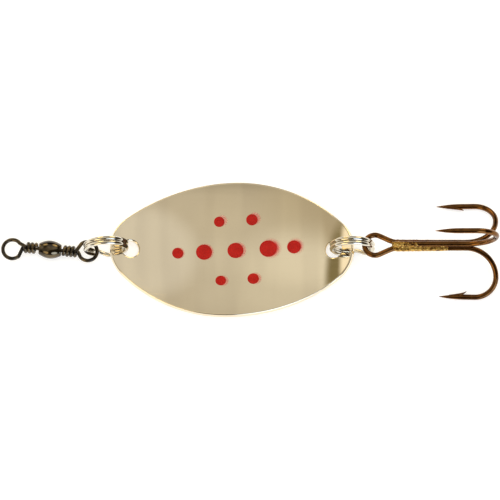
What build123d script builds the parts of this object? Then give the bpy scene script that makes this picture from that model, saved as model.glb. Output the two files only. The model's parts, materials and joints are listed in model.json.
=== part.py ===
from build123d import *
import os
from math import asin, cos, degrees, pi, radians, sin, sqrt, tan

os.makedirs("parts", exist_ok=True)

# A casting spoon: a dished metal blade, a split ring at each end, a barrel swivel on the front
# ring and a treble hook on the rear ring.  X runs from the swivel to the hook, +Z is up, z = 0 is
# the table under the belly of the blade, and the middle of the whole lure's length is x = 0.

# ---- driving dimensions, mm ----
blade_x = -3.68            # middle of the blade along the lure
blade_length = 50.8
blade_width = 28.3
tip_radius = 7.93          # plan radius of both ends
side_skew = 1.3            # the widest places of the two sides are this far from the middle
plate = 1.1                # thickness of the stamped plate
edge_lean = 18.0           # the rim stands square to the dished plate, so it leans in, degrees
rim_height = 2.6           # the outline is true at this height
blank_height = 8.0         # taller than the highest point of the blade
bowl_radius = 52.5         # across the blade
bowl_half_sweep = 19.0     # the sheet reaches past the rim on both sides, degrees
end_spare = 1.0            # and past both ends
front_flat = -5.3          # the belly is straight between these two places
tail_flat = 2.0
front_radius = 61.0        # slow rise to the front tip
tail_radius = 150.0        # slower rise behind the belly
tail_kick_x = 18.5         # where the tail turns up sharply
kick_radius = 16.5
hole_x = 21.12             # split ring holes, from the middle of the blade
hole_diameter = 3.5

lacquer = 0.08             # thickness of a painted dot
stencil_turn = 3.2         # the dot pattern is printed slightly askew, degrees
stencil_shift = 0.1
row_dots = [(-11.3, 2.35), (-5.8, 3.35), (0.7, 3.35), (7.45, 3.6), (12.8, 2.85)]
side_dots = {              # along and across the pattern, and diameter
    "dot_upper_front": (-2.3, 6.3, 2.2),
    "dot_upper_rear": (4.45, 6.35, 2.4),
    "dot_lower_front": (-2.7, -6.45, 2.2),
    "dot_lower_rear": (4.0, -6.4, 2.4),
}

ring_wire = 0.9
ring_outer = 9.3
ring_coil_gap = 0.04
ring_jog = 42.0            # the wire crosses from one coil to the other over this angle, degrees
ring_end_gap = 4.0
ring_lean = 3.4            # the rings stand on edge and lean back a little, degrees
front_ring_x = -25.85      # ring centres, from the middle of the blade
rear_ring_x = 24.65
front_ring_turn = 3.0      # seen from above, degrees
rear_ring_turn = 0.0
front_ring_crossing = 100  # where the wire crosses over, degrees round the ring
rear_ring_crossing = 60
floor_gap = 0.01           # between a ring and the table

swivel_wire = 0.78
swivel_turn = 5.3          # the swivel lies slightly across the lure, degrees
barrel_length = 4.65
barrel_diameter = 3.75
barrel_end_diameter = 2.5
barrel_wall = 0.45
barrel_floor_gap = 0.02
shank_clearance = 0.06
head_diameter = 1.7        # the end of each wire is upset into a head inside the barrel
head_length = 0.8
shank_start = 0.7          # the wire reaches this close to the middle of the barrel
head_round = 0.25
head_clearance = 0.08
eye_radius = 1.92          # to the middle of the wire
eye_reach = 7.75           # middle of the barrel to the middle of an eye
eye_sweep = 140.0          # the eye runs this far to both sides of its tip, degrees
eye_rise = 0.8             # the returning wire climbs over the shank
throat = 0.35              # straight shank between the wraps and the eye
wrap_radius = 0.82
wrap_pitch = 0.84
wrap_advance = 0.16        # slope of the wrap where the wire ends
wrap_first = 2.85         # last wire centre, beside the barrel
front_wraps = 2.6
rear_wraps = 3.0
front_eye_offset = 0.7     # the eyes hang to one side of the shank
rear_eye_offset = 0.3
ring_contact_z = 2.1       # height and sideways place where the rear eye hangs on the front ring
ring_contact_y = -0.3
rear_eye_play = 0.45       # the eye swings clear of the ring's wire

hook_wire = 1.1
hook_spacing = 1.2         # between the middles of neighbouring wires in the shank
bend_radius = 6.2          # wide part of the bend, next to the shank
point_radius = 4.25        # tighter part, next to the spear
bend_start_x = 47.9
spear_turn = 91.0          # the spear closes slightly towards the shank, degrees
front_spear_straight = 2.3
rear_spear_straight = 2.8
top_spear_straight = 3.3
point_length = 5.1
point_blunt = 0.03
barb_width = 0.42
barb_outline = [(3.5, 0.1), (3.3, 0.3), (2.2, 0.58), (0.8, 0.92), (-0.6, 1.36), (0.25, 0.74),
                (0.5, 0.1)]   # ahead of the point's root, and out towards the shank
treble_floor_gap = 0.03
treble_eye_radius = 2.1
treble_eye_play = 0.62
strand_angle = 24.6
strand_bend = 2.0
single_shank_x = 34.6      # where the third wire starts
braze_start_x = 33.6
braze_end_x = 43.8
braze_cover = 0.42

# ---- places worked out from the dimensions ----
bowl_axis = Axis((blade_x, 0, bowl_radius), (1, 0, 0))
sheet_end = blade_length / 2 + end_spare
front_rise_angle = degrees(asin((sheet_end + front_flat) / front_radius))
tail_rise_angle = degrees(asin((tail_kick_x - tail_flat) / tail_radius))
kick_end = (sheet_end - tail_kick_x) / kick_radius + sin(radians(tail_rise_angle))
tail_kick_angle = degrees(asin(kick_end)) - tail_rise_angle

ring_radius = (ring_outer - ring_wire) / 2
coil_height = (ring_wire + ring_coil_gap) / 2
ring_z = ring_radius * cos(radians(ring_lean)) + coil_height * sin(radians(ring_lean))
ring_z += ring_wire / 2 + floor_gap


def ring_plane(x, turn):
    """Plane of a split ring: local x runs along the lure, local z is the ring's axis."""
    along = Vector(cos(radians(turn)), sin(radians(turn)), 0)
    back = Vector(-sin(radians(turn)), cos(radians(turn)), 0)
    axis = back * cos(radians(ring_lean)) - Vector(0, 0, sin(radians(ring_lean)))
    return Plane(origin=(blade_x + x, 0, ring_z), x_dir=along, z_dir=axis)


front_ring = ring_plane(front_ring_x, front_ring_turn)
rear_ring = ring_plane(rear_ring_x, rear_ring_turn)


# ---- spoon blade ----
def dished_sheet(lift, thickness):
    """A dished sheet between two heights above the belly surface, wider than the blade."""
    turned = Plane(
        origin=(blade_x, 0, bowl_radius),
        x_dir=(1, 0, 0),
        z_dir=(0, -cos(radians(bowl_half_sweep)), sin(radians(bowl_half_sweep))),
    )
    with BuildPart() as sheet:
        with BuildSketch(turned):
            with BuildLine():
                faces = []
                for height in (lift, lift + thickness):
                    level = height - bowl_radius
                    belly = Line((front_flat, level), (tail_flat, level))
                    front = JernArc(belly @ 0, (-1, 0), front_radius - height, -front_rise_angle)
                    slow = JernArc(belly @ 1, (1, 0), tail_radius - height, tail_rise_angle)
                    kick = JernArc(slow @ 1, slow % 1, kick_radius - height, tail_kick_angle)
                    faces.append((front @ 1, kick @ 1))
                Line(faces[0][0], faces[1][0])
                Line(faces[0][1], faces[1][1])
            make_face()
        revolve(axis=bowl_axis, revolution_arc=2 * bowl_half_sweep)
    return sheet.part


def shoulder(end, side):
    """Where the arc of an end (1 rear, -1 front) meets the arc of a side (1 left, -1 right)."""
    widest = side_skew * side
    half = blade_width / 2
    tip = Vector(end * (blade_length / 2 - tip_radius), 0, 0)
    run = abs(tip.X - widest)
    side_radius = (run**2 + half**2 - tip_radius**2) / (2 * (half - tip_radius))
    return tip + (tip - Vector(widest, side * (half - side_radius), 0)).normalized() * tip_radius


plate_sheet = dished_sheet(0, plate)

with BuildPart() as spoon_blade:
    with BuildSketch(Plane((blade_x, 0, 0))):
        with BuildLine():
            for side in (1, -1):
                widest = (side_skew * side, side * blade_width / 2)
                for end in (1, -1):
                    TangentArc(widest, shoulder(end, side), tangent=(end, 0))
            for end in (1, -1):
                ThreePointArc(shoulder(end, 1), (end * blade_length / 2, 0), shoulder(end, -1))
        make_face()
        offset(amount=rim_height * tan(radians(edge_lean)))
    extrude(amount=blank_height, taper=edge_lean)
    add(plate_sheet, mode=Mode.INTERSECT)
    with Locations((blade_x - hole_x, 0, 0), (blade_x + hole_x, 0, 0)):
        Cylinder(hole_diameter / 2, 2 * blank_height, mode=Mode.SUBTRACT)
spoon_blade.part.label = "spoon_blade"
export_step(spoon_blade.part, "parts/spoon_blade.step")


# ---- lacquer dots on the hollow face ----
lacquer_sheet = dished_sheet(plate, lacquer)


def lacquer_dot(name, along, across, diameter):
    """One painted dot: a thin disc that follows the dished face."""
    turn = radians(stencil_turn)
    x = blade_x + along * cos(turn) - across * sin(turn)
    y = stencil_shift + along * sin(turn) + across * cos(turn)
    with BuildPart() as dot:
        with BuildSketch(Plane((x, y, 0))):
            Circle(diameter / 2)
        extrude(amount=blank_height)
        add(lacquer_sheet, mode=Mode.INTERSECT)
    dot.part.label = name
    export_step(dot.part, "parts/" + name + ".step")


for number, (along, diameter) in enumerate(row_dots, start=1):
    lacquer_dot("dot_row_" + str(number), along, 0, diameter)
for name, (along, across, diameter) in side_dots.items():
    lacquer_dot(name, along, across, diameter)


# ---- split rings ----
def in_plane(plane, x, y, z=0.0):
    """Point given in a plane's own axes."""
    return plane.origin + plane.x_dir * x + plane.y_dir * y + plane.z_dir * z


def coil_point(plane, angle, height):
    """Point on the wire of a split ring."""
    a = radians(angle)
    return in_plane(plane, ring_radius * cos(a), ring_radius * sin(a), height)


def coil_heading(plane, angle):
    """Direction of the wire of a split ring."""
    a = radians(angle)
    return plane.y_dir * cos(a) - plane.x_dir * sin(a)


def split_ring(plane, crossing):
    """Two flat turns of wire joined by one short crossing, with two free ends beside it."""
    first = crossing - ring_jog / 2
    last = crossing + ring_jog / 2
    free = last + ring_end_gap
    turn = first - free + 360
    h = coil_height
    with BuildPart() as ring:
        with BuildLine() as wire:
            ThreePointArc(coil_point(plane, free, -h),
                          coil_point(plane, free + turn / 2, -h),
                          coil_point(plane, first, -h))
            Spline(coil_point(plane, first, -h), coil_point(plane, crossing, 0),
                   coil_point(plane, last, h),
                   tangents=[coil_heading(plane, first), coil_heading(plane, last)])
            ThreePointArc(coil_point(plane, last, h),
                          coil_point(plane, last + turn / 2, h),
                          coil_point(plane, last + turn, h))
        with BuildSketch(Plane(origin=wire.wire() @ 0, z_dir=wire.wire() % 0)):
            Circle(ring_wire / 2)
        sweep()
    return ring.part


front_split_ring = split_ring(front_ring, front_ring_crossing)
front_split_ring.label = "front_split_ring"
export_step(front_split_ring, "parts/front_split_ring.step")
rear_split_ring = split_ring(rear_ring, rear_ring_crossing)
rear_split_ring.label = "rear_split_ring"
export_step(rear_split_ring, "parts/rear_split_ring.step")


# ---- barrel swivel ----
ring_drop = ring_z - ring_contact_z
ring_contact_x = blade_x + front_ring_x - sqrt(ring_radius**2 - ring_drop**2)
swivel_z = barrel_diameter / 2 + barrel_floor_gap
swivel_angle = radians(swivel_turn)
to_front = Vector(-cos(swivel_angle), sin(swivel_angle), 0)
to_rear = to_front * -1
sideways = Vector(0, 0, 1).cross(to_rear)
rear_eye_middle = Vector(ring_contact_x - rear_eye_play, ring_contact_y, swivel_z)
barrel_middle = rear_eye_middle - to_rear * eye_reach - sideways * rear_eye_offset

swivel_section = Plane(origin=barrel_middle, x_dir=to_rear, z_dir=to_rear.cross(Vector(0, 0, 1)))
swivel_axis = Axis(barrel_middle, to_rear)
half_barrel = barrel_length / 2
bore = swivel_wire / 2 + shank_clearance

with BuildPart() as swivel_barrel:
    with BuildSketch(swivel_section):
        with BuildLine():
            end_radius = barrel_end_diameter / 2
            Line((-half_barrel, bore), (-half_barrel, end_radius))
            ThreePointArc((-half_barrel, end_radius), (0, barrel_diameter / 2),
                          (half_barrel, end_radius))
            Line((half_barrel, end_radius), (half_barrel, bore))
            inner = half_barrel - barrel_wall
            Line((half_barrel, bore), (inner, bore))
            Line((inner, bore), (inner, end_radius - barrel_wall / 2))
            ThreePointArc((inner, end_radius - barrel_wall / 2),
                          (0, barrel_diameter / 2 - barrel_wall),
                          (-inner, end_radius - barrel_wall / 2))
            Line((-inner, end_radius - barrel_wall / 2), (-inner, bore))
            Line((-inner, bore), (-half_barrel, bore))
        make_face()
    revolve(axis=swivel_axis)
swivel_barrel.part.label = "swivel_barrel"
export_step(swivel_barrel.part, "parts/swivel_barrel.step")


def swivel_eye(outward, side, offset, turns):
    """One wire: a head held in the barrel, a shank, an open eye and a wrap round the shank."""
    across = Vector(0, 0, 1).cross(outward) * side

    def at(u, v, w):
        return barrel_middle + outward * u + across * v + Vector(0, 0, w)

    inside = half_barrel - barrel_wall - head_clearance
    wrap_start = wrap_first + turns * wrap_pitch
    points = []
    for step in range(13):                     # round the eye
        part = step / 12
        a = radians(eye_sweep * (2 * part - 1))
        points.append(at(eye_reach + eye_radius * cos(a),
                         side * offset + eye_radius * sin(a), eye_rise * part**2))
    steps = round(turns * 8)
    for step in range(steps + 1):              # back round the shank, towards the barrel
        a = 2 * pi * turns * step / steps
        points.append(at(wrap_start - wrap_pitch * a / (2 * pi),
                         -wrap_radius * sin(a), wrap_radius * cos(a)))
    a = 2 * pi * turns
    end_heading = across * -cos(a) - Vector(0, 0, sin(a)) - outward * wrap_advance
    with BuildPart() as eye:
        with BuildLine() as wire:
            shank = Line(at(shank_start, 0, 0), at(wrap_start + throat, 0, 0))
            Spline(shank @ 1, *points, tangents=[outward, end_heading])
        with BuildSketch(Plane(origin=shank @ 0, z_dir=outward)):
            Circle(swivel_wire / 2)
        sweep()
        with BuildSketch(Plane(origin=at(inside, 0, 0), z_dir=outward * -1)):
            Circle(head_diameter / 2)
        extrude(amount=head_length)
        fillet(eye.edges().filter_by(GeomType.CIRCLE).group_by(SortBy.RADIUS)[-1], head_round)
    return eye.part


front_eye = swivel_eye(to_front, -1, front_eye_offset, front_wraps)
front_eye.label = "swivel_front_eye"
export_step(front_eye, "parts/swivel_front_eye.step")
rear_eye = swivel_eye(to_rear, 1, rear_eye_offset, rear_wraps)
rear_eye.label = "swivel_rear_eye"
export_step(rear_eye, "parts/swivel_rear_eye.step")


# ---- treble hook ----
wire_ring = hook_spacing / sqrt(3)          # shank axis to the middle of each wire
hook_reach = wire_ring + bend_radius + point_radius
treble_z = hook_reach / 2 + hook_wire / 2 + treble_floor_gap
pair_z = treble_z - wire_ring / 2
pair_y = hook_spacing / 2
rear_contact_x = blade_x + rear_ring_x + sqrt(ring_radius**2 - (pair_z - ring_z) ** 2)
treble_eye_x = rear_contact_x + treble_eye_play
bend_start = blade_x + bend_start_x


def hook_plane(angle):
    """Plane through the shank axis whose local y points at one hook, angle from straight up."""
    a = radians(angle)
    return Plane(origin=(0, 0, treble_z), x_dir=(1, 0, 0), z_dir=(0, -cos(a), -sin(a)))


def arc_edge(plane, middle, radius, start, end):
    """Arc in a plane, between two angles."""
    marks = [radians(a) for a in (start, (start + end) / 2, end)]
    return ThreePointArc(*[in_plane(plane, middle[0] + radius * cos(a), middle[1] + radius * sin(a))
                           for a in marks])


def bend_and_spear(plane, straight):
    """Wire from the shank round the bend to the full-thickness end of the spear."""
    arc_edge(plane, (bend_start, wire_ring + bend_radius), bend_radius, -90, 0)
    tight_x = bend_start + bend_radius - point_radius
    tight = arc_edge(plane, (tight_x, wire_ring + bend_radius), point_radius, 0, spear_turn)
    return Line(tight @ 1, tight @ 1 + (tight % 1) * straight)


def spear_tip(plane, spear):
    """Needle point with a raised barb on the side that faces the shank."""
    start = spear @ 1
    ahead = spear % 1
    inward = plane.z_dir.cross(ahead)
    local = Plane(origin=start, x_dir=ahead, z_dir=ahead.cross(inward))
    r = hook_wire / 2
    curve = (point_length**2 + (r - point_blunt) ** 2) / (2 * (r - point_blunt))
    half = point_length / 2
    with BuildPart() as tip:
        with BuildSketch(local):
            with BuildLine():
                Line((0, 0), (0, r))
                ThreePointArc((0, r), (half, r - curve + sqrt(curve**2 - half**2)),
                              (point_length, point_blunt))
                Line((point_length, point_blunt), (point_length, 0))
                Line((point_length, 0), (0, 0))
            make_face()
        revolve(axis=Axis(start, ahead))
        with BuildSketch(local):
            with BuildLine():
                Polyline(*barb_outline, close=True)
            make_face()
        extrude(amount=barb_width / 2, both=True)
    return tip.part


def eye_strand(side):
    """One side of the treble's eye: round the loop, straight in, then along the shank."""
    t = radians(strand_angle)
    r = treble_eye_radius
    leave = Vector(treble_eye_x + r * sin(t), side * r * cos(t), pair_z)
    corner = Vector(leave.X + (r * cos(t) - pair_y) / tan(t), side * pair_y, pair_z)
    reach = strand_bend * tan(t / 2)
    inward = Vector(cos(t), -side * sin(t), 0)
    bulge = Vector(sin(t / 2), side * cos(t / 2), 0) * strand_bend * (1 / cos(t / 2) - 1)
    Line(leave, corner - inward * reach)
    ThreePointArc(corner - inward * reach, corner + bulge, corner + Vector(reach, 0, 0))
    Line(corner + Vector(reach, 0, 0), (bend_start, side * pair_y, pair_z))
    return leave


front_hook = hook_plane(120)
rear_hook = hook_plane(240)
top_hook = hook_plane(0)

with BuildLine() as double_wire:
    front_spear = bend_and_spear(front_hook, front_spear_straight)
    rear_spear = bend_and_spear(rear_hook, rear_spear_straight)
    ThreePointArc(eye_strand(-1), (treble_eye_x - treble_eye_radius, 0, pair_z), eye_strand(1))

front_tip = spear_tip(front_hook, front_spear)
rear_tip = spear_tip(rear_hook, rear_spear)
with BuildPart() as treble_double_hook:
    wire = double_wire.wire()
    with BuildSketch(Plane(origin=wire @ 0, z_dir=wire % 0)):
        Circle(hook_wire / 2)
    sweep(path=wire)
    add(front_tip)
    add(rear_tip)
treble_double_hook.part.label = "treble_double_hook"
export_step(treble_double_hook.part, "parts/treble_double_hook.step")

with BuildLine() as single_wire:
    single_z = treble_z + wire_ring
    Line((blade_x + single_shank_x, 0, single_z), (bend_start, 0, single_z))
    top_spear = bend_and_spear(top_hook, top_spear_straight)
top_tip = spear_tip(top_hook, top_spear)
with BuildPart() as treble_single_hook:
    with BuildSketch(Plane(origin=single_wire.wire() @ 0, z_dir=single_wire.wire() % 0)):
        Circle(hook_wire / 2)
    sweep(path=single_wire.wire())
    add(top_tip)
treble_single_hook.part.label = "treble_single_hook"
export_step(treble_single_hook.part, "parts/treble_single_hook.step")

# braze metal fills the grooves between the three wires
braze_start = Plane(origin=(blade_x + braze_start_x, 0, treble_z), x_dir=(0, 1, 0), z_dir=(1, 0, 0))
with BuildPart() as treble_braze:
    with BuildSketch(braze_start):
        RegularPolygon(wire_ring, 3, rotation=90)
        offset(amount=braze_cover)
        with PolarLocations(wire_ring, 3, start_angle=90):
            Circle(hook_wire / 2, mode=Mode.SUBTRACT)
    extrude(amount=braze_end_x - braze_start_x)
treble_braze.part.label = "treble_braze"
export_step(treble_braze.part, "parts/treble_braze.step")
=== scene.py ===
import json
from math import atan2, cos, pi, radians, sin, sqrt, tan

import bpy
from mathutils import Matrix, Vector, geometry, noise


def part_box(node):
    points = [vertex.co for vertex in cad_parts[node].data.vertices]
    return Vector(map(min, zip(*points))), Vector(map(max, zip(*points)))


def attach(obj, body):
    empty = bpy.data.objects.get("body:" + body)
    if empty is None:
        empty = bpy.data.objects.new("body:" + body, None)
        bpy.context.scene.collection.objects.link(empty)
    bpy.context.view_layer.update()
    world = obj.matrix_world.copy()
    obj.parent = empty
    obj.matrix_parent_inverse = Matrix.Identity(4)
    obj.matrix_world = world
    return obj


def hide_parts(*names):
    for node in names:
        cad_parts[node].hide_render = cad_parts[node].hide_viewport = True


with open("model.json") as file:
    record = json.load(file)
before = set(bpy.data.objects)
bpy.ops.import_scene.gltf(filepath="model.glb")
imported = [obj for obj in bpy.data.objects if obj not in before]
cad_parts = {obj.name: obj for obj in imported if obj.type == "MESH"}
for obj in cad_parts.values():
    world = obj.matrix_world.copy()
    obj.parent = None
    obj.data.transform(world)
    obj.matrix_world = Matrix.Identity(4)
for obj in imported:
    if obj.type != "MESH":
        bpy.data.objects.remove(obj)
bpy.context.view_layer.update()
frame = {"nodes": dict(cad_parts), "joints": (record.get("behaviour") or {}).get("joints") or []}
mm = 0.001
jointAt = {joint["name"]: joint for joint in frame["joints"]}
print("frame loaded:", len(frame["nodes"]), "nodes")


# a number flowing through a node tree, so that a formula can be written as one
class Field:
    def __init__(self, tree, socket):
        self.tree = tree
        self.socket = socket

    def use(self, operation, *others):
        node = self.tree.nodes.new("ShaderNodeMath")
        node.operation = operation
        for plugNumber, value in enumerate((self,) + others):
            plug(node.inputs[plugNumber], value)
        return Field(self.tree, node.outputs[0])

    def __add__(self, other):
        return self.use("ADD", other)

    def __sub__(self, other):
        return self.use("SUBTRACT", other)

    def __mul__(self, other):
        return self.use("MULTIPLY", other)

    def __truediv__(self, other):
        return self.use("DIVIDE", other)

    def root(self):
        return self.use("SQRT")

    def clamp(self, low, high):
        return self.use("MAXIMUM", low).use("MINIMUM", high)

    # 0 at low, 1 at high, with an eased step between them
    def ease(self, low, high, start=0.0, end=1.0):
        node = self.tree.nodes.new("ShaderNodeMapRange")
        node.interpolation_type = "SMOOTHSTEP"
        plug(node.inputs["Value"], self)
        for name, value in (("From Min", low), ("From Max", high), ("To Min", start), ("To Max", end)):
            plug(node.inputs[name], value)
        return Field(self.tree, node.outputs["Result"])


def plug(socket, value):
    if isinstance(value, Field):
        value = value.socket
    if isinstance(value, bpy.types.NodeSocket):
        socket.node.id_data.links.new(value, socket)
    else:
        socket.default_value = value


def addNode(tree, kind, inputs=None, **settings):
    node = tree.nodes.new(kind)
    for name, value in settings.items():
        setattr(node, name, value)
    for name, value in (inputs or {}).items():
        plug(node.inputs[name], value)
    return node


# geometry node trees
def startTree(name, numbers):
    tree = bpy.data.node_groups.new(name, "GeometryNodeTree")
    tree.interface.new_socket("Geometry", in_out="INPUT", socket_type="NodeSocketGeometry")
    for label, value in numbers.items():
        socket = tree.interface.new_socket(label, in_out="INPUT", socket_type="NodeSocketFloat")
        socket.default_value = value
    tree.interface.new_socket("Material", in_out="INPUT", socket_type="NodeSocketMaterial")
    tree.interface.new_socket("Geometry", in_out="OUTPUT", socket_type="NodeSocketGeometry")
    return tree, tree.nodes.new("NodeGroupInput")


def endTree(tree, entry, shape):
    real = addNode(tree, "GeometryNodeRealizeInstances", {"Geometry": shape})
    smooth = addNode(tree, "GeometryNodeSetShadeSmooth", {"Geometry": real.outputs[0]})
    paint = addNode(tree, "GeometryNodeSetMaterial",
                    {"Geometry": smooth.outputs[0], "Material": entry.outputs["Material"]})
    leave = tree.nodes.new("NodeGroupOutput")
    plug(leave.inputs[0], paint.outputs[0])


# runs a tree on a start mesh and hands back the plain mesh it makes
def runTree(tree, startMesh, values, material):
    source = bpy.data.objects.new("source", startMesh)
    bpy.context.scene.collection.objects.link(source)
    modifier = source.modifiers.new(tree.name, "NODES")
    modifier.node_group = tree
    for item in tree.interface.items_tree:
        if item.in_out == "INPUT" and item.name in values:
            modifier[item.identifier] = float(values[item.name])
        if item.in_out == "INPUT" and item.name == "Material":
            modifier[item.identifier] = material
    made = source.evaluated_get(bpy.context.evaluated_depsgraph_get())
    mesh = bpy.data.meshes.new_from_object(made)
    source.modifiers.remove(modifier)
    bpy.data.objects.remove(source)
    return mesh


def meshOf(points, edges=(), faces=()):
    mesh = bpy.data.meshes.new("start")
    mesh.from_pydata([Vector(p) for p in points], edges, faces)
    mesh.update()
    return mesh


def chainOf(points):
    return meshOf(points, [(n, n + 1) for n in range(len(points) - 1)])


# several meshes as one piece, which rides on a body and stands for CAD nodes
def makePiece(name, meshes, body, nodes):
    pieces = []
    for mesh in meshes:
        piece = bpy.data.objects.new(name, mesh)
        bpy.context.scene.collection.objects.link(piece)
        pieces.append(piece)
    if len(pieces) > 1:
        with bpy.context.temp_override(active_object=pieces[0], selected_editable_objects=pieces):
            bpy.ops.object.join()
    piece = pieces[0]
    piece.name = name
    piece.data.name = name
    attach(piece, body)
    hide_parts(*nodes)
    return piece


# materials
def startMaterial(name, baseColor, metallic, roughness):
    material = bpy.data.materials.new(name)
    material.use_nodes = True
    tree = material.node_tree
    shader = tree.nodes["Principled BSDF"]
    shader.inputs["Base Color"].default_value = (*baseColor, 1)
    shader.inputs["Metallic"].default_value = metallic
    shader.inputs["Roughness"].default_value = roughness
    place = tree.nodes.new("ShaderNodeTexCoord").outputs["Object"]
    return material, tree, shader, place


def noiseField(tree, place, scale, detail=2.0, rough=0.5, stretch=(1, 1, 1)):
    turned = addNode(tree, "ShaderNodeMapping", {"Vector": place, "Scale": stretch})
    spots = addNode(tree, "ShaderNodeTexNoise",
                    {"Vector": turned.outputs[0], "Scale": scale, "Detail": detail, "Roughness": rough})
    return Field(tree, spots.outputs["Fac"])


def mixColor(tree, amount, first, second):
    mix = addNode(tree, "ShaderNodeMix", data_type="RGBA")
    plug(mix.inputs[0], amount)
    plug(mix.inputs[6], first if not isinstance(first, tuple) else (*first, 1))
    plug(mix.inputs[7], second if not isinstance(second, tuple) else (*second, 1))
    return mix.outputs[2]


def addBump(tree, shader, height, strength, distance):
    bump = addNode(tree, "ShaderNodeBump",
                   {"Height": height, "Strength": strength, "Distance": distance})
    plug(shader.inputs["Normal"], bump.outputs[0])


# the painted dots, as (middle x, middle y, radius), read from the CAD boxes
dotNodes = sorted(name for name in frame["nodes"] if name.startswith("dot_"))
dots = {}
for name in dotNodes:
    low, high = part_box(name)
    dots[name] = ((low.x + high.x) / 2, (low.y + high.y) / 2, (high.x - low.x) / 2)

plating = {
    "color": (0.80, 0.70, 0.535),
    # warmer, lighter plating colour: the slow random tint, and the colour of the painted reflection bands
    "warmColor": (0.88, 0.775, 0.59),
    "roughness": (0.05, 0.12),
    "clouds": 90,               # size of the slow tint and of the painted reflection bands, per metre
    "bands": 190,
    "mist": (0.47, 0.018, 0.022),
    "mistMetallic": 0.35,
    # where the paint mist sits beside each dot: along, across, softness (mm) and density
    "mistAt": {"dot_row_1": (0.30, 0.05, 0.20, 0.75), "dot_row_2": (0.28, 0.06, 0.22, 0.75),
               "dot_row_3": (0.52, 0.06, 0.20, 0.66), "dot_row_4": (0.52, 0.08, 0.62, 1.0),
               "dot_row_5": (0.26, 0.15, 0.56, 1.0), "dot_upper_front": (0.56, 0.10, 0.18, 0.62),
               "dot_upper_rear": (0.56, 0.14, 0.22, 0.68), "dot_lower_front": (0.48, 0.10, 0.18, 0.66),
               "dot_lower_rear": (0.46, 0.18, 0.24, 0.68)},
}


def platingMaterial():
    material, tree, shader, place = startMaterial("bladePlating", plating["color"], 1, 0.07)
    split = addNode(tree, "ShaderNodeSeparateXYZ", {"Vector": place})
    x, y = Field(tree, split.outputs[0]), Field(tree, split.outputs[1])
    # slow tint of the plating, and painted reflection bands (lighter streaks of painted sheen) that run
    # across the blade
    cloud = noiseField(tree, place, plating["clouds"], 3).ease(0.3, 0.7)
    bands = noiseField(tree, place, plating["bands"], 1, 0.4, (1, 0.12, 0)).ease(0.40, 0.58)
    color = mixColor(tree, cloud * 0.35 + bands * 0.65, plating["color"], plating["warmColor"])
    # lacquer mist beside every dot
    mist = None
    for name, (cx, cy, r) in dots.items():
        slipX, slipY, feather, density = plating["mistAt"][name]
        dx = x - (cx + slipX * mm)
        dy = y - (cy + slipY * mm)
        far = (dx * dx + dy * dy).root()
        spot = far.ease(r - feather * mm, r + feather * mm, density, 0)
        mist = spot if mist is None else mist.use("MAXIMUM", spot)
    streaks = noiseField(tree, place, 2600, 2, 0.6, (1, 0.25, 1)).ease(0.25, 0.75, 0.88, 1.06)
    mist = mist * streaks
    color = mixColor(tree, mist, color, plating["mist"])
    plug(shader.inputs["Base Color"], color)
    plug(shader.inputs["Metallic"], mist.ease(0, 0.8, 1, plating["mistMetallic"]))
    fine = noiseField(tree, place, 1500, 4, 0.6, (0.08, 1, 1))
    plug(shader.inputs["Roughness"], fine.ease(0.3, 0.7, *plating["roughness"]))
    ripple = noiseField(tree, place, 200, 2, 0.4, (1, 0.3, 1))
    addBump(tree, shader, ripple, 0.2, 0.02 * mm)
    return material


# the plain finishes: two colors and two roughnesses that noise blends between, a clear coat
# (weight, roughness), and a bump (noise scale, strength, height)
lacquerLook = {"darkRed": (0.33, 0.006, 0.003), "brightRed": (0.39, 0.009, 0.005), "coat": (0.08, 0.1),
               "specular": 0.1, "bump": (1400, 0.25, 0.01 * mm)}
nickelLook = {"bright": (0.74, 0.71, 0.64), "yellowed": (0.64, 0.57, 0.44), "roughness": (0.05, 0.16),
              "bump": (900, 0.3, 0.01 * mm)}
blackLook = {"black": (0.030, 0.024, 0.017), "rubbed": (0.12, 0.088, 0.045), "roughness": (0.06, 0.15),
             "coat": (0.5, 0.06), "bump": (1500, 0.3, 0.01 * mm)}
bronzeLook = {"dark": (0.095, 0.036, 0.008), "golden": (0.21, 0.088, 0.018), "roughness": (0.09, 0.18),
              "coat": (0.15, 0.1), "bump": (1200, 0.3, 0.012 * mm)}


def addCoat(shader, coat):
    shader.inputs["Coat Weight"].default_value, shader.inputs["Coat Roughness"].default_value = coat


def bumpWithNoise(tree, shader, place, bump):
    scale, strength, height = bump
    addBump(tree, shader, noiseField(tree, place, scale, 2), strength, height)


def lacquerMaterial():
    material, tree, shader, place = startMaterial("redLacquer", (0.45, 0.008, 0.006), 0, 0.4)
    shader.inputs["Specular IOR Level"].default_value = lacquerLook["specular"]
    addCoat(shader, lacquerLook["coat"])
    tone = noiseField(tree, place, 700, 3).ease(0.3, 0.7)
    plug(shader.inputs["Base Color"],
         mixColor(tree, tone, lacquerLook["darkRed"], lacquerLook["brightRed"]))
    bumpWithNoise(tree, shader, place, lacquerLook["bump"])
    return material


def nickelMaterial():
    material, tree, shader, place = startMaterial("ringNickel", (0.84, 0.82, 0.77), 1, 0.10)
    tone = noiseField(tree, place, 500, 3).ease(0.35, 0.7)
    plug(shader.inputs["Base Color"], mixColor(tree, tone, nickelLook["bright"], nickelLook["yellowed"]))
    wear = noiseField(tree, place, 2400, 3, 0.6)
    plug(shader.inputs["Roughness"], wear.ease(0.35, 0.75, *nickelLook["roughness"]))
    bumpWithNoise(tree, shader, place, nickelLook["bump"])
    return material


def blackNickelMaterial():
    material, tree, shader, place = startMaterial("blackNickel", (0.12, 0.10, 0.08), 1, 0.2)
    addCoat(shader, blackLook["coat"])
    tone = noiseField(tree, place, 420, 3).ease(0.35, 0.68)
    plug(shader.inputs["Base Color"], mixColor(tree, tone, blackLook["black"], blackLook["rubbed"]))
    wear = noiseField(tree, place, 1800, 3)
    plug(shader.inputs["Roughness"], wear.ease(0.3, 0.7, *blackLook["roughness"]))
    bumpWithNoise(tree, shader, place, blackLook["bump"])
    return material


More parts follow.
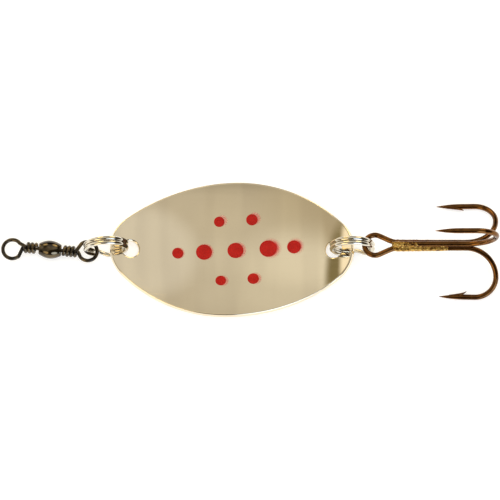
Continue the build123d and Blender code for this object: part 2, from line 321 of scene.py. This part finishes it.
def bronzedMaterial():
    material, tree, shader, place = startMaterial("bronzedSteel", (0.2, 0.09, 0.03), 1, 0.22)
    addCoat(shader, bronzeLook["coat"])
    tone = noiseField(tree, place, 620, 3).ease(0.25, 0.75)
    plug(shader.inputs["Base Color"], mixColor(tree, tone, bronzeLook["dark"], bronzeLook["golden"]))
    wear = noiseField(tree, place, 1500, 3)
    plug(shader.inputs["Roughness"], wear.ease(0.3, 0.7, *bronzeLook["roughness"]))
    bumpWithNoise(tree, shader, place, bronzeLook["bump"])
    return material


brazeLook = {
    "pits": (0.11, 0.040, 0.006),
    "grains": (0.85, 0.52, 0.13),
    "bareSteel": (0.13, 0.045, 0.010),
    "grainScale": 1700,
    "bareFrom": -0.1 * mm,      # across the shank, from gilded to bare
    "bareTo": 0.55 * mm,
    "thinFrom": 29 * mm,        # along the shank, where the film thins out
    "thinTo": 37 * mm,
    "bump": (0.9, 0.05 * mm),
}


def brazeMaterial():
    material, tree, shader, place = startMaterial("braze", (0.6, 0.36, 0.09), 1, 0.4)
    grain = noiseField(tree, place, brazeLook["grainScale"], 4, 0.75)
    color = mixColor(tree, grain.ease(0.38, 0.62), brazeLook["pits"], brazeLook["grains"])
    # the film is thick on the near wire, and the far wire shows bare bronzed steel
    split = addNode(tree, "ShaderNodeSeparateXYZ", {"Vector": place})
    along, across = Field(tree, split.outputs[0]), Field(tree, split.outputs[1])
    thin = along.ease(brazeLook["thinFrom"], brazeLook["thinTo"], 0.55, 1.1)
    bare = across.ease(brazeLook["bareFrom"], brazeLook["bareTo"]) * thin
    patchy = noiseField(tree, place, 900, 3, 0.6).ease(0.40, 0.58)
    bare = (bare + patchy * bare).clamp(0, 1)
    plug(shader.inputs["Base Color"], mixColor(tree, bare, color, brazeLook["bareSteel"]))
    plug(shader.inputs["Roughness"], grain.ease(0.3, 0.7, 0.50, 0.16))
    addBump(tree, shader, grain, *brazeLook["bump"])
    return material


platingFinish = platingMaterial()
lacquerFinish = lacquerMaterial()
nickelFinish = nickelMaterial()
blackFinish = blackNickelMaterial()
bronzedFinish = bronzedMaterial()
brazeFinish = brazeMaterial()
print("materials made")


# blade: a flat blank, pressed into its dish
blade = {
    "plate": 1.1 * mm,
    "tipRadius": 7.93 * mm,
    "sideSkew": 1.3 * mm,
    "rimRound": 0.24 * mm,
    "holeRadius": 1.75 * mm,
    "holeRound": 0.30 * mm,
    "holeX": 21.12 * mm,
    "bowlRadius": 52.5 * mm,
    "frontFlat": -5.3 * mm,
    "tailFlat": 2.0 * mm,
    "frontRadius": 61.0 * mm,
    "tailRadius": 150.0 * mm,
    "kickX": 18.5 * mm,
    "kickRadius": 16.5 * mm,
    "grid": 0.5 * mm,
    "roundSteps": 5,
    "support": 0.05 * mm,       # a flat strip inside the rounding keeps the shading of the face clean
}


# the pressing rule: a flat blank at height h above the belly, bent into the dish
def pressTree():
    tree, entry = startTree("pressedDish", {
        "Middle": 0, "Bowl Radius": blade["bowlRadius"], "Front Flat": blade["frontFlat"],
        "Tail Flat": blade["tailFlat"], "Front Radius": blade["frontRadius"],
        "Tail Radius": blade["tailRadius"], "Kick Start": blade["kickX"],
        "Kick Radius": blade["kickRadius"]})

    def dial(name):
        return Field(tree, entry.outputs[name])

    where = addNode(tree, "ShaderNodeSeparateXYZ",
                    {"Vector": tree.nodes.new("GeometryNodeInputPosition").outputs[0]})
    x, y, height = [Field(tree, socket) for socket in where.outputs]
    along = x - dial("Middle")
    bowl, kickRadius = dial("Bowl Radius"), dial("Kick Radius")

    # rise and slope of an arc, at a distance from where it starts
    def arcRise(distance, radius):
        drop = (radius * radius - distance * distance).root()
        return radius - drop, distance / drop

    front = (along - dial("Front Flat")).use("MINIMUM", 0)
    slow = (along.use("MINIMUM", dial("Kick Start")) - dial("Tail Flat")).use("MAXIMUM", 0)
    frontRise, frontSlope = arcRise(front, dial("Front Radius"))
    slowRise, slowSlope = arcRise(slow, dial("Tail Radius"))
    kickLean = (dial("Kick Start") - dial("Tail Flat")) / dial("Tail Radius")
    before = kickRadius * kickLean
    past = (along - dial("Kick Start")).use("MAXIMUM", 0) + before
    startRise, startSlope = arcRise(before, kickRadius)
    kickRise, kickSlope = arcRise(past, kickRadius)
    kicked = along.use("GREATER_THAN", dial("Kick Start"))
    rise = frontRise + slowRise + kickRise - startRise
    slope = frontSlope + slowSlope + (kickSlope - startSlope) * kicked

    level = bowl - rise
    drop = (level * level - y * y).root()
    leanX = slope * level / drop
    leanY = y / drop
    length = (leanX * leanX + leanY * leanY + 1).root()
    lift = height / length
    spot = addNode(tree, "ShaderNodeCombineXYZ", {
        "X": x - leanX * lift, "Y": y - leanY * lift, "Z": bowl - drop + lift})
    moved = addNode(tree, "GeometryNodeSetPosition",
                    {"Geometry": entry.outputs["Geometry"], "Position": spot.outputs[0]})
    endTree(tree, entry, moved.outputs[0])
    return tree


bladeLow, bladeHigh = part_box("spoon_blade")
bladeMiddle = (bladeLow.x + bladeHigh.x) / 2
halfLength = (bladeHigh.x - bladeLow.x) / 2
halfWidth = (bladeHigh.y - bladeLow.y) / 2


# the outline as six tangent arcs: (middle, radius, first angle, last angle), anticlockwise
def outlineArcs():
    tipRadius, skew = blade["tipRadius"], blade["sideSkew"]
    sides = {}
    for end in (1, -1):
        for side in (1, -1):
            tip = Vector((end * (halfLength - tipRadius), 0))
            run = abs(tip.x - skew * side)
            radius = (run**2 + halfWidth**2 - tipRadius**2) / (2 * (halfWidth - tipRadius))
            middle = Vector((skew * side, side * (halfWidth - radius)))
            lean = tip - middle
            sides[end, side] = (middle, radius, atan2(lean.y, lean.x) % (2 * pi), tip)
    arcs = []
    for end, side in ((1, 1), (-1, 1), (-1, -1), (1, -1)):
        middle, radius, meet, tip = sides[end, side]
        widest = pi / 2 if side == 1 else 3 * pi / 2
        if end == side:
            before = sides[end, -side][2]
            arcs.append((tip, tipRadius, before - (2 * pi if end == 1 else 0), meet))
            arcs.append((middle, radius, meet, widest))
        else:
            arcs.append((middle, radius, widest, meet))
    return arcs


outline = outlineArcs()
pressing = pressTree()
pressValues = {"Middle": bladeMiddle}


# how far a point of the blank is inside its outline
def insetOf(x, y):
    inset = 1
    for middle, radius, first, last in outline:
        reach = Vector((x, y)) - middle
        if (atan2(reach.y, reach.x) - first) % (2 * pi) <= last - first:
            inset = min(inset, radius - reach.length)
    return inset


def outlineLoop(inset):
    points = []
    for middle, radius, first, last in outline:
        steps = max(6, round((last - first) * radius / blade["grid"]))
        for step in range(steps):
            a = first + (last - first) * step / steps
            points.append((middle.x + (radius - inset) * cos(a), middle.y + (radius - inset) * sin(a)))
    return points


def holeLoop(side, inset, steps=48):
    r = blade["holeRadius"] + inset
    return [(side * blade["holeX"] + r * cos(2 * pi * n / steps), -r * sin(2 * pi * n / steps))
            for n in range(steps)]


# (inset, height) of the rounded edge, from the upper face to the lower one
def edgeProfile(roundness):
    quarter = [radians(90 * n / blade["roundSteps"]) for n in range(blade["roundSteps"] + 1)]
    upper = [(roundness * (1 - sin(a)), blade["plate"] - roundness * (1 - cos(a))) for a in quarter]
    upper.insert(0, (roundness + blade["support"], blade["plate"]))
    lower = [(inset, blade["plate"] - height) for inset, height in reversed(upper)]
    return upper + lower


def blankMesh():
    verts, faces = [], []
    borders = [outlineLoop] + [lambda inset, s=s: holeLoop(s, inset) for s in (-1, 1)]
    rounds = [blade["rimRound"], blade["holeRound"], blade["holeRound"]]
    faceLoops = []                                  # first and last loop of every border
    for border, roundness in zip(borders, rounds):
        loops = []
        for inset, height in edgeProfile(roundness):
            loops.append(range(len(verts), len(verts) + len(border(inset))))
            verts += [(x, y, height) for x, y in border(inset)]
        for upper, lower in zip(loops, loops[1:]):
            count = len(upper)
            faces += [(upper[n], lower[n], lower[(n + 1) % count], upper[(n + 1) % count])
                      for n in range(count)]
        faceLoops.append((loops[0], loops[-1]))
    # hexagonal grid over the flat of the blank
    step = blade["grid"]
    inner = []
    for row in range(-int(halfWidth / step / 0.866) - 1, int(halfWidth / step / 0.866) + 2):
        for column in range(-int(halfLength / step) - 1, int(halfLength / step) + 2):
            x, y = (column + 0.5 * (row % 2)) * step, row * step * 0.866
            clear = [(Vector((x, y)) - Vector((s * blade["holeX"], 0))).length for s in (-1, 1)]
            inHoles = min(clear) < blade["holeRadius"] + blade["holeRound"] + 0.6 * step
            if insetOf(x, y) > blade["rimRound"] + 0.6 * step and not inHoles:
                inner.append((x, y))
    borderIndex = [n for first, last in faceLoops for n in first]
    flat = [Vector(verts[n][:2]) for n in borderIndex] + [Vector(p) for p in inner]
    ring = []
    start = 0
    for first, last in faceLoops:
        ring += [(start + n, start + (n + 1) % len(first)) for n in range(len(first))]
        start += len(first)
    triangles = geometry.delaunay_2d_cdt(flat, ring, [], 0, 1e-9)[2]
    upperIndex = borderIndex + list(range(len(verts), len(verts) + len(inner)))
    verts += [(x, y, blade["plate"]) for x, y in inner]
    lowerIndex = [n for first, last in faceLoops for n in last]
    lowerIndex += range(len(verts), len(verts) + len(inner))
    verts += [(x, y, 0) for x, y in inner]
    rimCount, holeCount = len(faceLoops[0][0]), len(faceLoops[1][0])
    for a, b, c in triangles:
        # a triangle hung between three points of one hole would close that hole
        owners = {(n - rimCount) // holeCount for n in (a, b, c)}
        if owners not in ({0}, {1}):
            faces.append((upperIndex[a], upperIndex[b], upperIndex[c]))
            faces.append((lowerIndex[c], lowerIndex[b], lowerIndex[a]))
    return meshOf([(x + bladeMiddle, y, z) for x, y, z in verts], [], faces)


makePiece("spoonBlade", [runTree(pressing, blankMesh(), pressValues, platingFinish)],
          "blade", ["spoon_blade"])
print("blade pressed")


# lacquer dots: a slightly crowned disc, pressed with the same rule
lacquer = {"thickness": 0.08 * mm, "sink": 0.02 * mm, "rings": 10, "steps": 48}


def dotMesh(cx, cy, r):
    verts = [(cx, cy, blade["plate"] + lacquer["thickness"])]
    faces = []
    for ring in range(1, lacquer["rings"] + 1):
        part = sin(radians(90 * ring / lacquer["rings"]))
        crown = (lacquer["thickness"] + lacquer["sink"]) * sqrt(max(0, 1 - part**8)) - lacquer["sink"]
        for step in range(lacquer["steps"]):
            a = 2 * pi * step / lacquer["steps"]
            verts.append((cx + r * part * cos(a), cy + r * part * sin(a), blade["plate"] + crown))
    last = len(verts)
    verts.append((cx, cy, blade["plate"] - lacquer["sink"]))
    for step in range(lacquer["steps"]):
        after = (step + 1) % lacquer["steps"]
        faces.append((0, 1 + step, 1 + after))
        for ring in range(lacquer["rings"] - 1):
            start = 1 + ring * lacquer["steps"]
            below = start + lacquer["steps"]
            faces.append((start + step, below + step, below + after, start + after))
        faces.append((last, last - lacquer["steps"] + after, last - lacquer["steps"] + step))
    return meshOf(verts, [], faces)


for name, (cx, cy, r) in dots.items():
    words = name.split("_")
    pieceName = words[0] + "".join(word.capitalize() for word in words[1:])
    makePiece(pieceName, [runTree(pressing, dotMesh(cx, cy, r), pressValues, lacquerFinish)],
              "blade", [name])
print("dots painted")


# drawn wire: a round wire along a chain of points, with either end pointed
def wireTree():
    tree, entry = startTree("drawnWire", {
        "Wire Radius": 0.4 * mm, "Step": 0.15 * mm, "Sides": 24,
        "Start Point": 0.1 * mm, "End Point": 0.1 * mm, "Blunt": 0.6})
    path = addNode(tree, "GeometryNodeMeshToCurve", {"Mesh": entry.outputs["Geometry"]})
    soft = addNode(tree, "GeometryNodeCurveSplineType", {"Curve": path.outputs[0]},
                   spline_type="CATMULL_ROM")
    even = addNode(tree, "GeometryNodeResampleCurve",
                   {"Curve": soft.outputs[0], "Length": entry.outputs["Step"]}, mode="LENGTH")
    place = tree.nodes.new("GeometryNodeSplineParameter")
    whole = tree.nodes.new("GeometryNodeSplineLength")
    fromStart = Field(tree, place.outputs["Length"])
    fromEnd = Field(tree, whole.outputs["Length"]) - fromStart
    blunt = Field(tree, entry.outputs["Blunt"])

    def taper(distance, name):
        left = (distance / Field(tree, entry.outputs[name])).clamp(0, 1) * -1 + 1
        return left * left * (blunt - 1) + 1

    thick = taper(fromStart, "Start Point") * taper(fromEnd, "End Point")
    section = addNode(tree, "GeometryNodeCurvePrimitiveCircle",
                      {"Resolution": entry.outputs["Sides"], "Radius": entry.outputs["Wire Radius"]})
    tube = addNode(tree, "GeometryNodeCurveToMesh", {
        "Curve": even.outputs[0], "Profile Curve": section.outputs[0], "Scale": thick, "Fill Caps": True})
    endTree(tree, entry, tube.outputs[0])
    return tree


drawing = wireTree()


def drawWire(points, radius, material, startPoint=0.12 * mm, endPoint=0.12 * mm, blunt=0.6, step=0.15 * mm):
    values = {"Wire Radius": radius, "Step": step, "Start Point": startPoint,
              "End Point": endPoint, "Blunt": blunt}
    return runTree(drawing, chainOf(points), values, material)


# a turned part: (along, radius) pairs spun round an axis
def turnedMesh(profile, origin, axis, material, steps=64):
    side = axis.orthogonal().normalized()
    up = axis.cross(side)
    verts, faces = [], []
    for along, radius in profile:
        for step in range(steps):
            a = 2 * pi * step / steps
            verts.append(origin + axis * along + (side * cos(a) + up * sin(a)) * radius)
    count = len(profile)
    for ring in range(count):
        for step in range(steps):
            after = (step + 1) % steps
            here, there = ring * steps, (ring + 1) % count * steps
            faces.append((here + after, here + step, there + step, there + after))
    mesh = meshOf(verts, [], faces)
    mesh.shade_smooth()
    mesh.materials.append(material)
    return mesh


# split rings
ring = {
    "wireRadius": 0.45 * mm,
    "outer": 9.3 * mm,
    "coilGap": 0.04 * mm,
    "jog": 42,                  # the crossing from one coil to the other, degrees
    "endGap": 4,
    "lean": 3.4,                # the rings lean back a little, degrees
    "frontCrossing": 100,       # where each ring's coils cross, and how it is turned in the hole
    "rearCrossing": 60,
    "frontTurn": 3.0,
    "rearTurn": 0.0,
}


def splitRing(node, crossing, turn):
    low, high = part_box(node)
    middle = (low + high) / 2
    along = Vector((cos(radians(turn)), sin(radians(turn)), 0))
    back = Vector((-sin(radians(turn)), cos(radians(turn)), 0))
    axis = back * cos(radians(ring["lean"])) - Vector((0, 0, sin(radians(ring["lean"]))))
    up = axis.cross(along)
    radius = ring["outer"] / 2 - ring["wireRadius"]
    lift = ring["wireRadius"] + ring["coilGap"] / 2
    first = crossing - ring["jog"] / 2
    last = crossing + ring["jog"] / 2
    start = last + ring["endGap"] - 360
    end = first - ring["endGap"] + 360
    points = []
    steps = 140
    for step in range(steps + 1):
        a = start + (end - start) * step / steps
        part = min(1, max(0, (a - first) / ring["jog"]))
        height = lift * (2 * (part * part * (3 - 2 * part)) - 1)
        points.append(middle + (along * cos(radians(a)) + up * sin(radians(a))) * radius + axis * height)
    return drawWire(points, ring["wireRadius"], nickelFinish)


frontRing = splitRing("front_split_ring", ring["frontCrossing"], ring["frontTurn"])
rearRing = splitRing("rear_split_ring", ring["rearCrossing"], ring["rearTurn"])
makePiece("frontSplitRing", [frontRing], "front_ring", ["front_split_ring"])
makePiece("rearSplitRing", [rearRing], "rear_ring", ["rear_split_ring"])
print("split rings wound")


# barrel swivel
swivel = {
    "wireRadius": 0.39 * mm,
    "barrelHalf": 2.325 * mm,
    "barrelRadius": 1.875 * mm,
    "barrelEnd": 1.25 * mm,
    "barrelWall": 0.45 * mm,
    "barrelRound": 0.22 * mm,
    "clearance": 0.06 * mm,
    "headRadius": 0.85 * mm,
    "headLength": 0.8 * mm,
    "headRound": 0.25 * mm,
    "headPlay": 0.08 * mm,
    "eyeRadius": 1.92 * mm,
    "eyeReach": 7.75 * mm,
    "eyeTwist": 0.8 * mm,       # the loop's two ends pass over each other by this much
    "rearOffset": 0.3 * mm,     # how far each eye stands beside the barrel's axis
    "frontOffset": 0.7 * mm,
    "rearTurns": 3.25,
    "frontTurns": 3.0,
    "wrapRadius": 0.82 * mm,
    "wrapPitch": 0.81 * mm,
    "wrapFirst": 2.76 * mm,
}
barrelMiddle = Vector(jointAt["barrel_spin"]["pos_m"])
toRear = Vector(jointAt["barrel_spin"]["axis"]).normalized()


# (along, radius) pairs of a shell that swells by bulge in the middle
def arcPairs(first, last, bulge, steps=16):
    pairs = []
    for step in range(steps + 1):
        part = step / steps
        lift = bulge * (1 - (2 * part - 1) ** 2)
        along = first[0] + (last[0] - first[0]) * part
        pairs.append((along, first[1] + (last[1] - first[1]) * part + lift))
    return pairs


def barrelMesh():
    half, end, wall, edge = (swivel[k] for k in ("barrelHalf", "barrelEnd", "barrelWall", "barrelRound"))
    bore = swivel["wireRadius"] + swivel["clearance"]
    bulge = swivel["barrelRadius"] - end
    corner = [(half - edge * (1 - sin(radians(a))), end - edge * (1 - cos(radians(a))))
              for a in (0, 22.5, 45, 67.5, 90)]
    outer = arcPairs((-half + edge, end), (half - edge, end), bulge)
    mirrored = [(-along, radius) for along, radius in reversed(corner[1:])]
    inner = arcPairs((half - wall, end - wall / 2), (-half + wall, end - wall / 2), bulge - wall / 2)
    profile = mirrored + outer + corner[1:] + [(half, bore), (half - wall, bore)] + inner
    profile += [(-half + wall, bore), (-half, bore)]
    return turnedMesh(profile, barrelMiddle, toRear, blackFinish)


def swivelEye(outward, side, offset, turns):
    across = Vector((0, 0, 1)).cross(outward) * side

    def at(u, v, w):
        return barrelMiddle + outward * u + across * v + Vector((0, 0, w))

    reach, radius = swivel["eyeReach"], swivel["eyeRadius"]
    wrapStart = swivel["wrapFirst"] + turns * swivel["wrapPitch"]
    points = [at(swivel["barrelHalf"] * 0.3, 0, 0), at(swivel["barrelHalf"] * 0.9, 0, 0)]
    straight = wrapStart + 0.35 * mm
    points += [at(straight * part, 0, 0) for part in (0.6, 0.75, 0.9, 1.0)]
    for step in range(25):                          # round the eye
        part = step / 24
        a = radians(-140 + 280 * part)
        points.append(at(reach + radius * cos(a), side * offset + radius * sin(a),
                         swivel["eyeTwist"] * part**2))
    steps = round(turns * 16)
    for step in range(steps + 1):                   # back round the shank
        a = 2 * pi * turns * step / steps
        points.append(at(wrapStart - swivel["wrapPitch"] * a / (2 * pi),
                         -swivel["wrapRadius"] * sin(a), swivel["wrapRadius"] * cos(a)))
    wire = drawWire(points, swivel["wireRadius"], blackFinish, step=0.12 * mm)
    # the head that turns inside the barrel
    r, edge = swivel["headRadius"], swivel["headRound"]
    outer = swivel["barrelHalf"] - swivel["barrelWall"] - swivel["headPlay"]
    inner = outer - swivel["headLength"]
    tiny = 0.001 * mm
    quarter = [radians(a) for a in (0, 30, 60, 90)]
    profile = [(inner, tiny)]
    profile += [(inner + edge * (1 - cos(a)), r - edge * (1 - sin(a))) for a in quarter]
    profile += [(outer - edge * (1 - sin(a)), r - edge * (1 - cos(a))) for a in quarter]
    profile.append((outer, tiny))
    head = turnedMesh(profile, barrelMiddle, outward, blackFinish, 32)
    return [wire, head]


makePiece("swivelBarrel", [barrelMesh()], "barrel", ["swivel_barrel"])
rearEye = swivelEye(toRear, 1, swivel["rearOffset"], swivel["rearTurns"])
frontEye = swivelEye(-toRear, -1, swivel["frontOffset"], swivel["frontTurns"])
makePiece("swivelRearEye", rearEye, "rear_eye", ["swivel_rear_eye"])
makePiece("swivelFrontEye", frontEye, "line_eye", ["swivel_front_eye"])
print("swivel wound")


# treble hook
hook = {
    "wireRadius": 0.55 * mm,
    "spacing": 1.2 * mm,
    "bendRadius": 6.2 * mm,
    "pointRadius": 4.25 * mm,
    "bendStart": 47.9 * mm,
    "spearTurn": 91.0,
    "spearStraight": {120: 2.3 * mm, 240: 2.8 * mm, 0: 3.3 * mm},   # front, rear and top hook
    "pointLength": 5.1 * mm,
    "pointBlunt": 0.05,
    "barbRadius": 0.34 * mm,
    "eyeRadius": 2.14 * mm,
    "eyePlay": 0.62 * mm,       # from the ring's wire to the middle of the eye
    "strandAngle": 24.6,
    "strandBend": 2.0 * mm,
    "singleStart": 34.6 * mm,
    "brazeStart": 32.75 * mm,
    "brazeEnd": 44.6 * mm,
    "brazeCover": 0.42 * mm,
    "brazeGrain": 0.05 * mm,
    # film over each wire at the eye end, and how much thinner it is at the bends, in mm
    "brazeFilm": {0: (0.05, 0.16), 120: (0.17, 0.12), 240: (0.08, 0.14)},
}
wireRing = hook["spacing"] / sqrt(3)                # shank axis to the middle of each wire
contact = Vector(jointAt["treble_pivot"]["pos_m"])
pairZ = contact.z
shankZ = pairZ + wireRing / 2
eyeX = contact.x + hook["eyePlay"]
bendX = bladeMiddle + hook["bendStart"]


# points in the plane of one hook, which stands at an angle from straight up
def hookPoint(angle, x, reach):
    a = radians(angle)
    return Vector((x, -reach * sin(a), shankZ + reach * cos(a)))


# from the shank end of the bend to the needle point
def bendAndSpear(angle):
    big, small = hook["bendRadius"], hook["pointRadius"]
    points = []
    for step in range(1, 13):
        a = radians(-90 + 90 * step / 12)
        points.append(hookPoint(angle, bendX + big * cos(a), wireRing + big + big * sin(a)))
    tightX = bendX + big - small
    for step in range(1, 13):
        a = radians(hook["spearTurn"] * step / 12)
        points.append(hookPoint(angle, tightX + small * cos(a), wireRing + big + small * sin(a)))
    ahead = hookPoint(angle, -sin(a), cos(a)) - hookPoint(angle, 0, 0)
    run = hook["spearStraight"][angle] + hook["pointLength"]
    start = points[-1]
    points += [start + ahead * run * part for part in (0.15, 0.3, 0.45, 0.6, 0.75, 0.9, 1.0)]
    return points


# the sliver cut up behind the point, on the inner side of the spear
def barb(angle):
    a = radians(hook["spearTurn"])
    tip = bendAndSpear(angle)[-1]
    ahead = hookPoint(angle, -sin(a), cos(a)) - hookPoint(angle, 0, 0)
    inward = hookPoint(angle, 0, 0) - hookPoint(angle, 0, 1)
    back = [(-1.9, 0.10), (-3.0, 0.22), (-4.2, 0.46), (-5.2, 0.86), (-5.75, 1.22)]
    points = [tip + ahead * x * mm + inward * y * mm for x, y in back]
    return drawWire(points, hook["barbRadius"], bronzedFinish, 0.4 * mm, 2.6 * mm, 0.08, 0.08 * mm)


def eyeStrand(side):
    t = radians(hook["strandAngle"])
    r, half = hook["eyeRadius"], hook["spacing"] / 2
    points = []
    for step in range(1, 13):
        a = radians(180) - (radians(90) + t) * step / 12
        points.append(Vector((eyeX + r * cos(a), side * r * sin(a), pairZ)))
    leave = points[-1]
    cornerX = leave.x + (r * cos(t) - half) / tan(t)
    reach = hook["strandBend"] * tan(t / 2) * 2.2
    inward = Vector((cos(t), -side * sin(t), 0))
    corner = Vector((cornerX, side * half, pairZ))
    run = (corner - inward * reach) - leave
    points += [leave + run * part for part in (0.25, 0.5, 0.75, 1.0)]
    points.append(corner + Vector((0, side * 0.11 * mm, 0)))
    points.append(corner + Vector((reach, 0, 0)))
    shank = bendX - points[-1].x
    points += [points[-1] + Vector((shank * part / 8, 0, 0)) for part in range(1, 9)]
    return points


def doubleHook():
    front = [*reversed(bendAndSpear(120)), *reversed(eyeStrand(-1))]
    start = [Vector((eyeX - hook["eyeRadius"], 0, pairZ))]
    points = front + start + eyeStrand(1) + bendAndSpear(240)
    wire = drawWire(points, hook["wireRadius"], bronzedFinish, hook["pointLength"],
                    hook["pointLength"], hook["pointBlunt"])
    return [wire, barb(120), barb(240)]


def singleHook():
    start = Vector((bladeMiddle + hook["singleStart"], 0, shankZ + wireRing))
    run = bendX - start.x
    points = [start + Vector((run * part / 12, 0, 0)) for part in range(13)] + bendAndSpear(0)
    wire = drawWire(points, hook["wireRadius"], bronzedFinish, 0.3 * mm,
                    hook["pointLength"], hook["pointBlunt"])
    return [wire, barb(0)]


# the braze fills the grooves and runs over the wires as a thin uneven film
def brazeMesh():
    rows, around = 110, 96
    startX = bladeMiddle + hook["brazeStart"]
    run = hook["brazeEnd"] - hook["brazeStart"]
    r = hook["wireRadius"]
    verts, faces = [], []
    for row in range(rows + 1):
        part = row / rows
        for step in range(around):
            a = 360 * step / around                  # from straight up, towards the front
            best = 0
            for angle in (0, 120, 240):
                d = radians(a - angle)
                under = r * r - (wireRing * sin(d)) ** 2
                reach = wireRing * cos(d) + sqrt(under) if under > 0 else 0
                film, loss = hook["brazeFilm"][angle]
                best = max(best, reach + (film - loss * part) * mm)
            groove = wireRing * 0.5 + hook["brazeCover"] * (0.90 - 0.55 * part)
            ends = min(1, min(part, 1 - part) * 9)
            spot = Vector((part * run / mm, cos(radians(a)) * 1.1, sin(radians(a)) * 1.1))
            rough = noise.fractal(spot * 2.2, 1.0, 2.0, 4) * hook["brazeGrain"]
            reach = max(best, groove * (0.75 + 0.25 * ends)) + rough - (1 - ends) * 0.10 * mm
            verts.append(hookPoint(a, startX + part * run, reach))
    for row in range(rows):
        for step in range(around):
            after = (step + 1) % around
            here, there = row * around, (row + 1) * around
            faces.append((here + step, here + after, there + after, there + step))
    faces.append(tuple(reversed(range(around))))
    faces.append(tuple(range(rows * around, (rows + 1) * around)))
    mesh = meshOf(verts, [], faces)
    mesh.shade_smooth()
    mesh.materials.append(brazeFinish)
    return mesh


makePiece("trebleDoubleHook", doubleHook(), "treble", ["treble_double_hook"])
makePiece("trebleSingleHook", singleHook(), "treble", ["treble_single_hook"])
makePiece("trebleBraze", [brazeMesh()], "treble", ["treble_braze"])
print("treble bent")


# floor, light and camera
studio = {
    "floorColor": (0.6, 0.6, 0.6),
    "floorGlow": 0.55,
    "floorReach": 1.5,
    "sunPower": 1.6,
    "sunSoftness": 70,
    "elevation": 75,
    "distance": 2.5,
    "viewWidth": 102.67 * mm,
    "target": (0, 0, 2 * mm),
    "walls": (0.075, 0.062, 0.042),
    # soft cards around the lure: direction, full inside and gone outside these cosines, color
    "cards": [((0.06, 0.33, 0.94), 0.87, 0.73, (0.60, 0.555, 0.465)),
              ((-0.27, 0.03, 0.96), 0.990, 0.930, (0.68, 0.63, 0.52)),
              ((-0.24, 0.55, 0.80), 0.990, 0.930, (0.70, 0.66, 0.56)),
              ((-0.26, 0.30, 0.92), 0.995, 0.945, (0.82, 0.78, 0.67)),
              ((0.40, 0.28, 0.87), 0.965, 0.905, (0.74, 0.71, 0.64)),
              ((-0.55, -0.20, 0.81), 0.94, 0.80, (0.52, 0.46, 0.34)),
              ((-0.62, 0.44, 0.65), 0.97, 0.89, (0.24, 0.20, 0.10)),
              ((-0.88, 0.30, 0.37), 0.95, 0.88, (1.1, 1.0, 0.8)),
              ((-0.40, 0.78, 0.48), 0.985, 0.965, (4.2, 3.2, 1.5)),
              ((0.45, 0.72, 0.53), 0.985, 0.968, (3.8, 3.0, 1.5)),
              ((0.35, -0.85, 0.40), 0.975, 0.950, (2.8, 3.4, 4.4)),
              ((-0.50, -0.75, 0.43), 0.980, 0.950, (3.0, 2.4, 1.4))],
}


def makeFloor():
    reach = studio["floorReach"]
    mesh = meshOf([(-reach, -reach, 0), (reach, -reach, 0), (reach, reach, 0), (-reach, reach, 0)],
                  [], [(0, 1, 2, 3)])
    material, tree, shader, place = startMaterial("floorPaper", studio["floorColor"], 0, 0.9)
    shader.inputs["Specular IOR Level"].default_value = 0.1
    shader.inputs["Emission Color"].default_value = (1, 1, 1, 1)
    shader.inputs["Emission Strength"].default_value = studio["floorGlow"]
    mesh.materials.append(material)
    floor = bpy.data.objects.new("floor", mesh)
    bpy.context.scene.collection.objects.link(floor)


def makeWorld():
    world = bpy.data.worlds.new("studio")
    bpy.context.scene.world = world
    world.use_nodes = True
    tree = world.node_tree
    background = tree.nodes["Background"]
    toward = addNode(tree, "ShaderNodeSeparateXYZ",
                     {"Vector": tree.nodes.new("ShaderNodeTexCoord").outputs["Generated"]})
    east, north, up = [Field(tree, socket) for socket in toward.outputs]
    # white low down, dark walls above
    color = mixColor(tree, up.ease(0.0, 0.12), (1.0, 0.99, 0.97), studio["walls"])
    for (x, y, z), inner, outer, cardColor in studio["cards"]:
        near = east * x + north * y + up * z
        color = mixColor(tree, near.ease(outer, inner), color, cardColor)
    plug(background.inputs["Color"], color)
    background.inputs["Strength"].default_value = 1.0


def makeSun():
    lamp = bpy.data.lights.new("softSun", "SUN")
    lamp.energy = studio["sunPower"]
    lamp.angle = radians(studio["sunSoftness"])
    sun = bpy.data.objects.new("softSun", lamp)
    bpy.context.scene.collection.objects.link(sun)
    sun.rotation_euler = (radians(8), radians(-6), 0)
    sun.visible_glossy = False


def makeCamera():
    lens = bpy.data.cameras.new("camera")
    lens.sensor_width = 36
    lens.lens = lens.sensor_width * studio["distance"] / studio["viewWidth"]
    lens.clip_end = 10
    camera = bpy.data.objects.new("camera", lens)
    bpy.context.scene.collection.objects.link(camera)
    e = radians(studio["elevation"])
    back = Vector((0, -cos(e), sin(e)))
    camera.location = Vector(studio["target"]) + back * studio["distance"]
    camera.rotation_euler = (radians(90 - studio["elevation"]), 0, 0)
    bpy.context.scene.camera = camera


makeFloor()
makeWorld()
makeSun()
makeCamera()
bpy.context.scene.view_settings.view_transform = "Standard"
print("studio ready")
